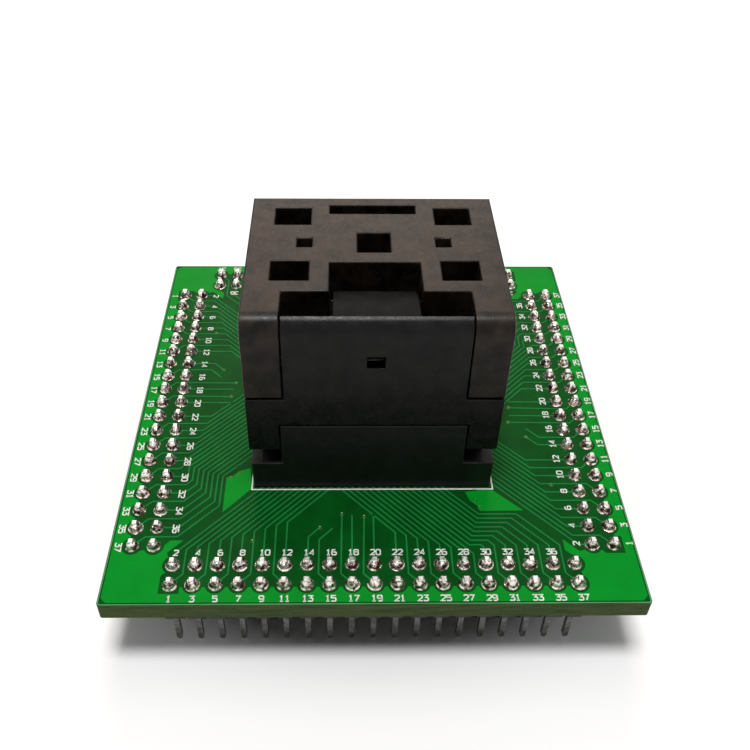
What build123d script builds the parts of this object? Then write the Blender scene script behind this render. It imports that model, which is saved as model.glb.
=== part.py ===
"""Clamshell test socket for a square leadless chip, on a plug-in adapter board.

The pin tips stand on z = 0 and the board is centred on the origin. +X is to the
right and -Y is the latch side. Heights that start with board_top are above the
board's upper face. All lengths are in millimetres.
"""

import os
from math import cos, radians, sin, sqrt

from build123d import *

os.makedirs("parts", exist_ok=True)

# Plug-in headers: four double rows on a tenth-inch grid
pitch = 2.54
pins_per_row = 19
header_reach = (pins_per_row / 2 + 1) * pitch
pin_width = 0.64
pin_drop = 6.0
pin_stub = 1.2
insulator_width = 5.0
insulator_height = 2.5
insulator_end_gap = 0.1

# Adapter board
board_margin = 2.56
board_size = 2 * (header_reach + pitch / 2 + board_margin)
board_thickness = 2.36
board_corner = 1.0
plated_hole = 0.76
board_bottom = pin_drop + insulator_height
board_top = board_bottom + board_thickness

# Chip, and the walls and steps round it that give the socket its width
chip_size = 12.0
chip_clearance = 0.05
part_clearance = 0.1
running_clearance = 0.05
nest_half = chip_size / 2 + 1.5
well_half = nest_half + 0.4
nest_flange_half = nest_half + 1.7
block_half = nest_flange_half + 0.2
retainer_half = block_half + 2.2
body_half_width = retainer_half + 2.0
base_half_width = body_half_width + 0.95
lid_half_width = base_half_width + 0.1
front_face = 0.15 - base_half_width

# Heights of the socket
rim_height = 11.4
lid_height = 15.4
rim_gap = 0.4
lid_rim = board_top + rim_height
lid_top = lid_rim + lid_height
body_top = lid_rim - rim_gap

# Hinge along the rear
hinge_inset = 2.15
hinge_drop = 0.2
hinge_y = base_half_width - hinge_inset
hinge_z = lid_rim - hinge_drop
hinge_pin_radius = 1.0
hinge_pin_recess = 0.2
knuckle_radius = 2.8
cheek_thickness = 2.2
ear_radius = 2.6
ear_inner = 5.0
ear_thickness = 3.4
hinge_bay_gap = 0.6
hinge_bay_half_width = lid_half_width - cheek_thickness
hinge_bay_front = hinge_y - knuckle_radius - 0.4
hinge_bay_top = hinge_z + ear_radius + hinge_bay_gap

# Latch plate and its hooks
latch_thickness = 2.5
latch_seam = 0.15
latch_leg_height = 7.0
latch_leg_low = board_top + latch_leg_height
hook_width = 2.6
hook_depth = 1.0
hook_height = 1.4
hook_lead_in = 0.7
hook_gap = 0.3
latch_notch_half_width = body_half_width - hook_width
latch_notch_gap = 0.2

# Base
base_rear = hinge_y + knuckle_radius
flange_height = 4.5
body_rear = hinge_y - knuckle_radius - 0.3
shelf_height = 7.6
post_front = front_face + latch_thickness + 0.2
front_block_half_width = latch_notch_half_width - latch_seam
well_chamfer = 0.9
hook_pocket_depth = hook_depth + part_clearance
hook_pocket_low = latch_leg_height - hook_gap
hook_pocket_high = latch_leg_height + hook_height + hook_gap
post_lead_in = 0.8
moulding_radius = 0.3
peg_radius = 0.75
peg_reach = base_half_width - 1.55
peg_length = 1.8
peg_clearance = 0.05

# Screws that hold the base to the board from below
base_screw_radius = 1.0
base_screw_grip = 3.4
base_screw_clearance = 0.15
base_screw_head_radius = 1.9
base_screw_head_height = 1.3
base_screw_spacing = 2 * (base_half_width - base_screw_head_radius)
drive_recess_radius = 0.7
drive_recess_depth = 0.6

# Contact block, its retainer and the spring probes in two rings
retainer_thickness = 1.2
retainer_screw_reach = retainer_half - 1.0
retainer_screw_radius = 0.5
retainer_screw_grip = 1.8
retainer_head_radius = 0.9
retainer_head_height = 0.6
block_flange = 2.0
island_half = chip_size / 2 + 0.9
island_height = 5.1
probe_pitch = 0.5
probe_width = 0.26
probe_height = 5.95
probe_clearance = 0.03
outer_row_reach = chip_size / 2 - 0.35
inner_row_reach = outer_row_reach - 0.75
row_end_margin = 0.65
outer_row_probes = round(2 * (outer_row_reach - row_end_margin) / probe_pitch)
inner_row_probes = round(2 * (inner_row_reach - row_end_margin) / probe_pitch)
probe_rows = ((outer_row_probes, outer_row_reach), (inner_row_probes, inner_row_reach))

# Floating chip nest
nest_flange_thickness = 0.8
nest_top = 7.8
nest_floor = 6.1
nest_lead_in = 0.6
nest_window_half = inner_row_reach - 1.5
nest_slot_clearance = 0.1
nest_ledge = 6.4
nest_spring_reach = nest_flange_half - 1.0
nest_spring_radius = 0.68
nest_spring_wire = 0.22
nest_spring_turns = 3

# Lid
lid_rear_run = 5.9
lid_rear_drop = 8.6
lid_top_rear = base_rear - lid_rear_run
lid_front_radius = 2.0
lid_lower_front = front_face + latch_thickness + 0.4
ear_lift = 4.2
ear_underside = lid_rim + ear_lift
mouth_half_width = lid_half_width - 4.25
mouth_rear = front_face + 5.31
thumb_notch_half_width = 5.14
thumb_notch_rear = mouth_rear + 5.23
thumb_notch_floor = lid_top - 5.6
pad_bay_half_width = lid_half_width - 3.45
pad_bay_half_depth = well_half
roof_thickness = 7.0
pad_bay_top = lid_top - roof_thickness
corner_window_width = 4.3
corner_window_depth = 3.5
corner_window_x = lid_half_width - 5.03
corner_window_y = 5.38
window_floor = lid_top - 5.0
centre_window = 3.85
rear_slot_width = 10.44
rear_slot_depth = 1.8
rear_slot_y = lid_top_rear - 2.44
guide_window = 1.8

# Pressure pad, its retainer and its springs
pad_block_width = 3.6
pad_screw_x = pad_bay_half_width - pad_block_width / 2
pad_screw_y = pad_bay_half_depth - 1.7
pad_retainer_half_width = pad_bay_half_width - 0.2
pad_retainer_half_depth = pad_bay_half_depth - 0.2
pad_retainer_thickness = 1.4
pad_seat = lid_rim + 3.2
pad_screw_radius = 0.6
pad_screw_grip = 2.6
pad_screw_head_radius = 1.1
pad_screw_head_height = 0.7
pad_flange_thickness = 2.0
pad_wing_half_width = pad_bay_half_width - 0.5
pad_wing_half_depth = 3.6
pad_tip_half = chip_size / 2 - 0.6
pad_body_half = pad_tip_half + 0.8
pad_window_half = pad_body_half + 0.3
pad_flange_half_width = pad_window_half + 0.5
pad_flange_half_depth = pad_bay_half_depth - 0.5
pad_body_low = board_top + nest_top + 0.8
pad_tip_low = board_top + nest_floor + 0.15
pad_tip_chamfer = 0.5
pad_spring_x = pad_wing_half_width - 2.6
pad_spring_radius = 1.3
pad_spring_wire = 0.36
pad_spring_turns = 4
pad_spring_seat = 1.0
guide_pin_radius = 0.75
guide_pin_top = lid_top - 1.6
guide_pin_grip = 0.8

# Latch, its pin and its spring
latch_pin_y = front_face + 2.0
latch_pin_z = lid_top - 7.2
latch_pin_radius = 0.75
latch_pin_recess = 0.4
latch_shoulder_gap = 0.3
thumb_half_width = thumb_notch_half_width - 0.44
latch_boss_radius = 1.9
latch_boss_inner = thumb_half_width + 0.9
latch_boss_width = mouth_half_width - latch_boss_inner - 0.4
thumb_rear = thumb_notch_rear - 2.04
thumb_thickness = 4.4
thumb_low = lid_top - thumb_thickness
thumb_rear_drop = 2.6
thumb_crown = 0.6
latch_lip = 1.0
lip_drop = lid_front_radius - sqrt(lid_front_radius**2 - (lid_front_radius - latch_lip) ** 2)
latch_window_width = 2.0
latch_window_height = 1.7
latch_window_z = lid_top - 5.8
latch_spring_y = thumb_rear - 1.5
latch_spring_radius = 0.95
latch_spring_wire = 0.3
latch_spring_turns = 3
latch_spring_low_seat = 0.4
latch_spring_high_seat = 1.2
spring_side_gap = 0.15

# Sides of small round sections, sides of one spring turn, and the springs' end clearance
small_sides = 8
coil_sides = 8
coil_end_gap = 0.05

# Torsion springs round the hinge pin
hinge_spring_wire = 0.5
hinge_spring_turns = 3
hinge_spring_end_gap = 0.3
hinge_spring_pin_gap = 0.3
hinge_spring_radius = hinge_pin_radius + hinge_spring_pin_gap + hinge_spring_wire / 2


def rectangle_between(low, high, mode=Mode.ADD):
    """Rectangle in the active sketch, given by its low and its high corner."""
    with Locations(((low[0] + high[0]) / 2, (low[1] + high[1]) / 2)):
        Rectangle(high[0] - low[0], high[1] - low[1], mode=mode)


def square(half, mode=Mode.ADD):
    """Square in the active sketch, given by half its side."""
    Rectangle(2 * half, 2 * half, mode=mode)


def probe_slots(clearance):
    """Straight slots in the active sketch, one for each row of probes."""
    for count, reach in probe_rows:
        length = (count - 1) * probe_pitch + probe_width + 2 * clearance
        with PolarLocations(reach, 4):
            Rectangle(probe_width + 2 * clearance, length)


def small_round(radius, mode=Mode.ADD):
    """Section of a small screw, peg or hole in the active sketch, drawn with few sides."""
    RegularPolygon(radius, small_sides, mode=mode)


def coil_corners(seat, radius, turns, rise):
    """Corners of a coil of straight stretches that winds up from a seat plane."""
    steps = turns * coil_sides
    return [
        seat.from_local_coords(
            (
                radius * cos(radians(360 * step / coil_sides)),
                radius * sin(radians(360 * step / coil_sides)),
                rise * step / steps,
            )
        )
        for step in range(steps + 1)
    ]


def bent_wire(corners, wire, side):
    """Square wire along a line of corners, with one pair of faces across the given side."""
    with BuildPart() as bent:
        with BuildLine():
            path = Polyline(*corners)
        with BuildSketch(Plane(origin=path @ 0, x_dir=side, z_dir=path % 0)):
            Rectangle(wire, wire)
        sweep(transition=Transition.RIGHT)
    return bent.part


def compression_spring(radius, wire, turns, low, high):
    """Coil spring about Z at x = y = 0, between a low and a high seat."""
    start = low + wire / 2 + coil_end_gap
    rise = high - low - wire - 2 * coil_end_gap
    return bent_wire(coil_corners(Plane.XY.offset(start), radius, turns, rise), wire, (1, 0, 0))


def finish(piece, name):
    """Name a finished piece and write it to its file."""
    piece.part.label = name
    export_step(piece.part, f"parts/{name}.step")


# Board, with plated holes for the header pins, the base screws and the locating pegs
with BuildPart() as circuit_board:
    with BuildSketch(Plane.XY.offset(board_bottom)):
        RectangleRounded(board_size, board_size, board_corner)
        with PolarLocations(header_reach, 4):
            with GridLocations(pitch, pitch, 2, pins_per_row):
                Rectangle(plated_hole, plated_hole, mode=Mode.SUBTRACT)
        with GridLocations(base_screw_spacing, base_screw_spacing, 2, 2):
            small_round(base_screw_radius + base_screw_clearance, mode=Mode.SUBTRACT)
        with GridLocations(2 * peg_reach, 0, 2, 1):
            small_round(peg_radius + peg_clearance, mode=Mode.SUBTRACT)
    extrude(amount=board_thickness)
finish(circuit_board, "circuit_board")


# Headers: one insulator and 38 square pins, moulded into it, along each edge of the board
def make_header(side, angle):
    with BuildPart() as insulator:
        with BuildSketch(Plane.XY.offset(pin_drop)):
            with PolarLocations(header_reach, 1, start_angle=angle):
                Rectangle(insulator_width, pins_per_row * pitch - insulator_end_gap)
        extrude(amount=insulator_height)
    finish(insulator, f"header_insulator_{side}")
    with BuildPart() as pins:
        with BuildSketch():
            with PolarLocations(header_reach, 1, start_angle=angle):
                with GridLocations(pitch, pitch, 2, pins_per_row):
                    Rectangle(pin_width, pin_width)
        extrude(amount=board_top + pin_stub)
    finish(pins, f"header_pins_{side}")


for header_side, header_angle in (("right", 0), ("back", 90), ("left", 180), ("front", 270)):
    make_header(header_side, header_angle)

# Base: flange on the board, narrower body above it, hinge ears at the rear
with BuildPart() as socket_base:
    with BuildSketch(Plane.XY.offset(board_top)):
        with Locations((0, (front_face + base_rear) / 2)):
            RectangleRounded(2 * base_half_width, base_rear - front_face, moulding_radius)
    extrude(amount=flange_height)
    with BuildSketch(Plane.XY.offset(board_top + flange_height)):
        rectangle_between((-body_half_width, post_front), (body_half_width, body_rear))
        rectangle_between((-front_block_half_width, front_face), (front_block_half_width, post_front))
    extrude(amount=body_top - board_top - flange_height)
    with BuildSketch(Plane.XY.offset(board_top + flange_height)):
        rectangle_between((-body_half_width, body_rear), (body_half_width, base_rear))
    extrude(amount=shelf_height - flange_height)
    # Hinge ears, drilled for the pin
    for ear_start in (ear_inner, -ear_inner - ear_thickness):
        with BuildSketch(Plane.YZ.offset(ear_start)):
            with Locations((hinge_y, hinge_z)):
                Circle(ear_radius)
            rectangle_between(
                (hinge_y - ear_radius, board_top + flange_height), (hinge_y + ear_radius, hinge_z)
            )
            with Locations((hinge_y, hinge_z)):
                Circle(hinge_pin_radius, mode=Mode.SUBTRACT)
        extrude(amount=ear_thickness)
    # Chip well from above, with a lead-in round its rim
    with BuildSketch(Plane.XY.offset(body_top)):
        square(well_half)
    extrude(amount=board_top - body_top, mode=Mode.SUBTRACT)
    rim_edges = socket_base.edges().filter_by_position(Axis.Z, body_top - 0.01, body_top + 0.01)
    well_edges = rim_edges.filter_by_position(Axis.X, -well_half - 0.01, well_half + 0.01)
    chamfer(well_edges.filter_by_position(Axis.Y, -well_half - 0.01, well_half + 0.01), well_chamfer)
    # Stepped seat from below for the nest, the contact block and its retainer
    with BuildSketch(Plane.XY.offset(board_top)):
        square(block_half + part_clearance)
    extrude(amount=nest_ledge, mode=Mode.SUBTRACT)
    with BuildSketch(Plane.XY.offset(board_top)):
        square(retainer_half + part_clearance)
    extrude(amount=retainer_thickness, mode=Mode.SUBTRACT)
    # Pockets that the latch hooks catch in, open to the front and the sides
    with BuildSketch(Plane.XY.offset(board_top + hook_pocket_low)):
        for side in (-1, 1):
            with Locations((side * (front_block_half_width + base_half_width) / 2, post_front)):
                Rectangle(base_half_width - front_block_half_width, 2 * hook_pocket_depth)
    extrude(amount=hook_pocket_high - hook_pocket_low, mode=Mode.SUBTRACT)
    # Lead-in on top of each post, which pushes the hooks forward as the lid closes
    top_edges = socket_base.edges().filter_by_position(Axis.Z, body_top - 0.01, body_top + 0.01)
    chamfer(top_edges.filter_by_position(Axis.Y, post_front - 0.01, post_front + 0.01), post_lead_in)
    # Threaded holes and locating pegs in the underside
    with BuildSketch(Plane.XY.offset(board_top)):
        with GridLocations(base_screw_spacing, base_screw_spacing, 2, 2):
            small_round(base_screw_radius)
    extrude(amount=base_screw_grip, mode=Mode.SUBTRACT)
    with BuildSketch(Plane.XY.offset(board_top + retainer_thickness)):
        with PolarLocations(retainer_screw_reach, 4):
            small_round(retainer_screw_radius)
    extrude(amount=retainer_screw_grip, mode=Mode.SUBTRACT)
    with BuildSketch(Plane.XY.offset(board_top)):
        with GridLocations(2 * peg_reach, 0, 2, 1):
            small_round(peg_radius)
    extrude(amount=-peg_length)
finish(socket_base, "socket_base")

# Screws from under the board into the base
with BuildPart() as base_screws:
    with BuildSketch(Plane.XY.offset(board_bottom)):
        with GridLocations(base_screw_spacing, base_screw_spacing, 2, 2):
            small_round(base_screw_radius)
    extrude(amount=board_thickness + base_screw_grip)
    with BuildSketch(Plane.XY.offset(board_bottom)):
        with GridLocations(base_screw_spacing, base_screw_spacing, 2, 2):
            small_round(base_screw_head_radius)
    extrude(amount=-base_screw_head_height)
    with BuildSketch(Plane.XY.offset(board_bottom - base_screw_head_height)):
        with GridLocations(base_screw_spacing, base_screw_spacing, 2, 2):
            RegularPolygon(drive_recess_radius, 6)
    extrude(amount=drive_recess_depth, mode=Mode.SUBTRACT)
finish(base_screws, "base_screws")

# Contact block: flange in the base's seat, and an island that rises towards the chip
block_low = board_top + retainer_thickness
with BuildPart() as contact_block:
    with BuildSketch(Plane.XY.offset(block_low)):
        square(block_half)
    extrude(amount=block_flange)
    with BuildSketch(Plane.XY.offset(block_low)):
        square(island_half)
    extrude(amount=board_top + island_height - block_low)
    with BuildSketch(Plane.XY.offset(block_low)):
        probe_slots(probe_clearance)
    extrude(amount=board_top + island_height - block_low, mode=Mode.SUBTRACT)
finish(contact_block, "contact_block")

# Retainer plate under the contact block, flush with the base's underside
with BuildPart() as probe_retainer:
    with BuildSketch(Plane.XY.offset(board_top)):
        square(retainer_half)
        with PolarLocations(retainer_screw_reach, 4):
            small_round(retainer_screw_radius, mode=Mode.SUBTRACT)
    extrude(amount=retainer_thickness)
    with BuildSketch(Plane.XY.offset(board_top)):
        probe_slots(probe_clearance)
    extrude(amount=retainer_thickness, mode=Mode.SUBTRACT)
    with BuildSketch(Plane.XY.offset(board_top)):
        with PolarLocations(retainer_screw_reach, 4):
            small_round(retainer_head_radius + part_clearance)
    extrude(amount=retainer_head_height, mode=Mode.SUBTRACT)
finish(probe_retainer, "probe_retainer")

with BuildPart() as retainer_screws:
    with BuildSketch(Plane.XY.offset(board_top)):
        with PolarLocations(retainer_screw_reach, 4):
            small_round(retainer_head_radius)
    extrude(amount=retainer_head_height)
    with BuildSketch(Plane.XY.offset(board_top + retainer_head_height)):
        with PolarLocations(retainer_screw_reach, 4):
            small_round(retainer_screw_radius)
    extrude(amount=retainer_thickness + retainer_screw_grip - retainer_head_height)
finish(retainer_screws, "retainer_screws")

# Spring probes in two rings, standing on the board's contact pads
with BuildPart() as spring_probes:
    with BuildSketch(Plane.XY.offset(board_top)):
        for row_probes, row_reach in probe_rows:
            with PolarLocations(row_reach, 4):
                with GridLocations(0, probe_pitch, 1, row_probes):
                    Rectangle(probe_width, probe_width)
    extrude(amount=probe_height)
finish(spring_probes, "spring_probes")

# Floating nest: a frame round the chip, with a flange under the base's ledge
with BuildPart() as chip_nest:
    with BuildSketch(Plane.XY.offset(board_top + nest_ledge)):
        square(nest_flange_half)
    extrude(amount=-nest_flange_thickness)
    with BuildSketch(Plane.XY.offset(board_top + nest_ledge - nest_flange_thickness)):
        square(nest_half)
    extrude(amount=nest_top - nest_ledge + nest_flange_thickness)
    with BuildSketch(Plane.XY.offset(board_top + nest_top)):
        square(chip_size / 2 + chip_clearance)
    extrude(amount=nest_floor - nest_top, mode=Mode.SUBTRACT)
    nest_rim = chip_nest.faces().sort_by(Axis.Z)[-1].inner_wires().edges()
    chamfer(nest_rim, nest_lead_in)
    with BuildSketch(Plane.XY.offset(board_top + nest_floor)):
        probe_slots(nest_slot_clearance)
        square(nest_window_half)
    extrude(amount=nest_ledge - nest_flange_thickness - nest_floor, mode=Mode.SUBTRACT)
finish(chip_nest, "chip_nest")

with BuildPart() as nest_springs:
    nest_spring = compression_spring(
        nest_spring_radius,
        nest_spring_wire,
        nest_spring_turns,
        block_low + block_flange,
        board_top + nest_ledge - nest_flange_thickness,
    )
    with GridLocations(2 * nest_spring_reach, 2 * nest_spring_reach, 2, 2):
        add(nest_spring)
finish(nest_springs, "nest_springs")

# Lid: one moulding, drawn from the side and cut from the front, below and above
with BuildPart() as lid:
    with BuildSketch(Plane.YZ):
        with BuildLine():
            Polyline(
                (lid_top_rear, lid_top),
                (front_face, lid_top),
                (front_face, ear_underside),
                (lid_lower_front, ear_underside),
                (lid_lower_front, lid_rim),
                (hinge_y - knuckle_radius, lid_rim),
                (hinge_y - knuckle_radius, hinge_z),
            )
            ThreePointArc(
                (hinge_y - knuckle_radius, hinge_z),
                (hinge_y, hinge_z - knuckle_radius),
                (base_rear, hinge_z),
            )
            Polyline((base_rear, hinge_z), (base_rear, lid_top - lid_rear_drop), (lid_top_rear, lid_top))
        make_face()
    extrude(amount=lid_half_width, both=True)
    top_edges = lid.edges().filter_by(Axis.X).group_by(Axis.Z)[-1].sort_by(Axis.Y)
    fillet(top_edges[0], lid_front_radius)
    fillet(lid.edges().filter_by(Axis.X).group_by(Axis.Z)[-1].sort_by(Axis.Y)[-1], moulding_radius)
    # Mouth that the latch swings in, and the notch for its thumb piece
    with BuildSketch(Plane.XY.offset(lid_top)):
        rectangle_between((-mouth_half_width, front_face), (mouth_half_width, mouth_rear))
    extrude(amount=lid_rim - lid_top, mode=Mode.SUBTRACT)
    with BuildSketch(Plane.XY.offset(lid_top)):
        rectangle_between((-thumb_notch_half_width, mouth_rear), (thumb_notch_half_width, thumb_notch_rear))
    extrude(amount=thumb_notch_floor - lid_top, mode=Mode.SUBTRACT)
    # Bay for the hinge ears and springs, between the two cheeks
    with BuildSketch(Plane.XY.offset(hinge_z - knuckle_radius)):
        rectangle_between((-hinge_bay_half_width, hinge_bay_front), (hinge_bay_half_width, base_rear))
    extrude(amount=hinge_bay_top - hinge_z + knuckle_radius, mode=Mode.SUBTRACT)
    # Bay for the pressure pad, with a corner block for each retainer screw
    with BuildSketch(Plane.XY.offset(lid_rim)):
        Rectangle(2 * pad_bay_half_width, 2 * pad_bay_half_depth)
    extrude(amount=pad_bay_top - lid_rim, mode=Mode.SUBTRACT)
    with BuildSketch(Plane.XY.offset(pad_seat)):
        with GridLocations(2 * pad_screw_x, 2 * pad_screw_y, 2, 2):
            Rectangle(pad_block_width, pad_block_width)
    extrude(amount=pad_bay_top - pad_seat)
    with BuildSketch(Plane.XY.offset(pad_seat)):
        with GridLocations(2 * pad_screw_x, 2 * pad_screw_y, 2, 2):
            small_round(pad_screw_radius)
    extrude(amount=pad_screw_grip, mode=Mode.SUBTRACT)
    # Windows in the top: corners and rear slot are blind, centre and guides go through
    with BuildSketch(Plane.XY.offset(lid_top)):
        with GridLocations(2 * corner_window_x, 2 * corner_window_y, 2, 2):
            Rectangle(corner_window_width, corner_window_depth)
        with Locations((0, rear_slot_y)):
            Rectangle(rear_slot_width, rear_slot_depth)
    extrude(amount=window_floor - lid_top, mode=Mode.SUBTRACT)
    with BuildSketch(Plane.XY.offset(lid_top)):
        Rectangle(centre_window, centre_window)
        with GridLocations(2 * pad_spring_x, 0, 2, 1):
            Rectangle(guide_window, guide_window)
    extrude(amount=pad_bay_top - lid_top, mode=Mode.SUBTRACT)
    # Seats for the springs
    with BuildSketch(Plane.XY.offset(pad_bay_top)):
        with GridLocations(2 * pad_spring_x, 0, 2, 1):
            small_round(pad_spring_radius + pad_spring_wire / 2 + spring_side_gap)
    extrude(amount=pad_spring_seat, mode=Mode.SUBTRACT)
    with BuildSketch(Plane.XY.offset(thumb_notch_floor)):
        with Locations((0, latch_spring_y)):
            small_round(latch_spring_radius + latch_spring_wire / 2 + spring_side_gap)
    extrude(amount=-latch_spring_low_seat, mode=Mode.SUBTRACT)
    # Bores for the hinge pin and the latch pin
    with BuildSketch(Plane.YZ):
        with Locations((hinge_y, hinge_z)):
            Circle(hinge_pin_radius + running_clearance)
        with Locations((latch_pin_y, latch_pin_z)):
            Circle(latch_pin_radius)
    extrude(amount=lid_half_width, both=True, mode=Mode.SUBTRACT)
finish(lid, "lid")

with BuildPart() as hinge_pin:
    with BuildSketch(Plane.YZ):
        with Locations((hinge_y, hinge_z)):
            Circle(hinge_pin_radius)
    extrude(amount=lid_half_width - hinge_pin_recess, both=True)
finish(hinge_pin, "hinge_pin")

# Torsion springs: one leg stands on the base's shelf, the other lifts the lid
with BuildPart() as hinge_springs:
    coil_start = ear_inner + ear_thickness + hinge_spring_end_gap + hinge_spring_wire / 2
    coil_rise = hinge_bay_half_width - hinge_spring_end_gap - hinge_spring_wire / 2 - coil_start
    coil_seat = Plane(origin=(coil_start, hinge_y, hinge_z), x_dir=(0, -1, 0), z_dir=(1, 0, 0))
    leg_y = hinge_y - hinge_spring_radius
    hinge_spring_corners = [
        (coil_start, leg_y, hinge_bay_top),
        *coil_corners(coil_seat, hinge_spring_radius, hinge_spring_turns, coil_rise),
        (coil_start + coil_rise, leg_y, board_top + shelf_height),
    ]
    add(bent_wire(hinge_spring_corners, hinge_spring_wire, (1, 0, 0)))
    mirror(about=Plane.YZ)
finish(hinge_springs, "hinge_springs")

# Pressure pad: winged flange on the retainer, body through its window, tip in the nest
with BuildPart() as pressure_pad:
    with BuildSketch(Plane.XY.offset(pad_seat)):
        Rectangle(2 * pad_wing_half_width, 2 * pad_wing_half_depth)
        Rectangle(2 * pad_flange_half_width, 2 * pad_flange_half_depth)
    extrude(amount=pad_flange_thickness)
    with BuildSketch(Plane.XY.offset(pad_body_low)):
        square(pad_body_half)
    extrude(amount=pad_seat - pad_body_low)
    with BuildSketch(Plane.XY.offset(pad_tip_low)):
        square(pad_tip_half)
    extrude(amount=pad_body_low - pad_tip_low)
    chamfer(pressure_pad.edges().group_by(Axis.Z)[0], pad_tip_chamfer)
    with BuildSketch(Plane.XY.offset(pad_seat + pad_flange_thickness)):
        with GridLocations(2 * pad_spring_x, 0, 2, 1):
            small_round(pad_spring_radius + pad_spring_wire / 2 + spring_side_gap)
    extrude(amount=-pad_spring_seat, mode=Mode.SUBTRACT)
    with BuildSketch(Plane.XY.offset(pad_seat + pad_flange_thickness - pad_spring_seat)):
        with GridLocations(2 * pad_spring_x, 0, 2, 1):
            small_round(guide_pin_radius)
    extrude(amount=-guide_pin_grip, mode=Mode.SUBTRACT)
finish(pressure_pad, "pressure_pad")

guide_pin_low = pad_seat + pad_flange_thickness - pad_spring_seat - guide_pin_grip
with BuildPart() as pad_guide_pins:
    with BuildSketch(Plane.XY.offset(guide_pin_low)):
        with GridLocations(2 * pad_spring_x, 0, 2, 1):
            small_round(guide_pin_radius)
    extrude(amount=guide_pin_top - guide_pin_low)
finish(pad_guide_pins, "pad_guide_pins")

with BuildPart() as pad_springs:
    pad_spring = compression_spring(
        pad_spring_radius,
        pad_spring_wire,
        pad_spring_turns,
        pad_seat + pad_flange_thickness - pad_spring_seat,
        pad_bay_top + pad_spring_seat,
    )
    with GridLocations(2 * pad_spring_x, 0, 2, 1):
        add(pad_spring)
finish(pad_springs, "pad_springs")

with BuildPart() as pad_retainer:
    with BuildSketch(Plane.XY.offset(pad_seat)):
        Rectangle(2 * pad_retainer_half_width, 2 * pad_retainer_half_depth)
        square(pad_window_half, mode=Mode.SUBTRACT)
        with GridLocations(2 * pad_screw_x, 2 * pad_screw_y, 2, 2):
            small_round(pad_screw_radius, mode=Mode.SUBTRACT)
    extrude(amount=-pad_retainer_thickness)
finish(pad_retainer, "pad_retainer")

with BuildPart() as pad_retainer_screws:
    with BuildSketch(Plane.XY.offset(pad_seat - pad_retainer_thickness)):
        with GridLocations(2 * pad_screw_x, 2 * pad_screw_y, 2, 2):
            small_round(pad_screw_radius)
    extrude(amount=pad_retainer_thickness + pad_screw_grip)
    with BuildSketch(Plane.XY.offset(pad_seat - pad_retainer_thickness)):
        with GridLocations(2 * pad_screw_x, 2 * pad_screw_y, 2, 2):
            small_round(pad_screw_head_radius)
    extrude(amount=-pad_screw_head_height)
finish(pad_retainer_screws, "pad_retainer_screws")

# Latch: front plate with two legs and hooks, thumb piece and pin bosses behind it
with BuildPart() as latch:
    with BuildSketch(Plane.XZ.offset(-front_face)):
        rectangle_between(
            (-lid_half_width, latch_leg_low), (lid_half_width, ear_underside - latch_shoulder_gap)
        )
        rectangle_between(
            (-mouth_half_width + latch_seam, latch_leg_low), (mouth_half_width - latch_seam, lid_top)
        )
        rectangle_between(
            (-latch_notch_half_width, latch_leg_low),
            (latch_notch_half_width, body_top + latch_notch_gap),
            mode=Mode.SUBTRACT,
        )
        with Locations((0, latch_window_z)):
            Rectangle(latch_window_width, latch_window_height, mode=Mode.SUBTRACT)
    extrude(amount=-latch_thickness)
    latch_top_edges = latch.edges().filter_by(Axis.X).group_by(Axis.Z)[-1]
    fillet(latch_top_edges.sort_by(Axis.Y)[0], lid_front_radius)
    plate_rear = front_face + latch_thickness
    lip_rear = front_face + latch_lip
    with BuildSketch(Plane.XY.offset(lid_top)):
        rectangle_between((-mouth_half_width, lip_rear), (mouth_half_width, plate_rear))
    extrude(amount=-thumb_thickness, mode=Mode.SUBTRACT)
    ramp_top = (lip_rear, lid_top - lip_drop)
    ramp_end = (thumb_rear, lid_top - thumb_rear_drop)
    ramp_middle = (
        (ramp_top[0] + ramp_end[0]) / 2,
        (ramp_top[1] + ramp_end[1]) / 2 + thumb_crown,
    )
    with BuildSketch(Plane.YZ):
        with BuildLine():
            ThreePointArc(ramp_top, ramp_middle, ramp_end)
            Polyline(ramp_end, (thumb_rear, thumb_low), (lip_rear, thumb_low), ramp_top)
        make_face()
    extrude(amount=thumb_half_width, both=True)
    with BuildSketch(Plane.XY.offset(thumb_low)):
        with Locations((0, latch_spring_y)):
            small_round(latch_spring_radius + latch_spring_wire / 2 + spring_side_gap)
    extrude(amount=latch_spring_high_seat, mode=Mode.SUBTRACT)
    for boss_start in (latch_boss_inner, -latch_boss_inner - latch_boss_width):
        with BuildSketch(Plane.YZ.offset(boss_start)):
            with Locations((latch_pin_y, latch_pin_z)):
                Circle(latch_boss_radius)
        extrude(amount=latch_boss_width)
    for hook_start in (latch_notch_half_width, -body_half_width):
        with BuildSketch(Plane.YZ.offset(hook_start)):
            with BuildLine():
                Polyline(
                    (plate_rear, latch_leg_low),
                    (plate_rear, latch_leg_low + hook_height),
                    (plate_rear + hook_depth, latch_leg_low + hook_height),
                    (plate_rear + hook_depth, latch_leg_low + hook_lead_in),
                    (plate_rear + hook_depth - hook_lead_in, latch_leg_low),
                    close=True,
                )
            make_face()
        extrude(amount=body_half_width - latch_notch_half_width)
    with BuildSketch(Plane.YZ):
        with Locations((latch_pin_y, latch_pin_z)):
            Circle(latch_pin_radius + running_clearance)
    extrude(amount=lid_half_width, both=True, mode=Mode.SUBTRACT)
finish(latch, "latch")

with BuildPart() as latch_pin:
    with BuildSketch(Plane.YZ):
        with Locations((latch_pin_y, latch_pin_z)):
            Circle(latch_pin_radius)
    extrude(amount=lid_half_width - latch_pin_recess, both=True)
finish(latch_pin, "latch_pin")

with BuildPart() as latch_spring:
    with Locations((0, latch_spring_y)):
        add(
            compression_spring(
                latch_spring_radius,
                latch_spring_wire,
                latch_spring_turns,
                thumb_notch_floor - latch_spring_low_seat,
                thumb_low + latch_spring_high_seat,
            )
        )
finish(latch_spring, "latch_spring")
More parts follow.
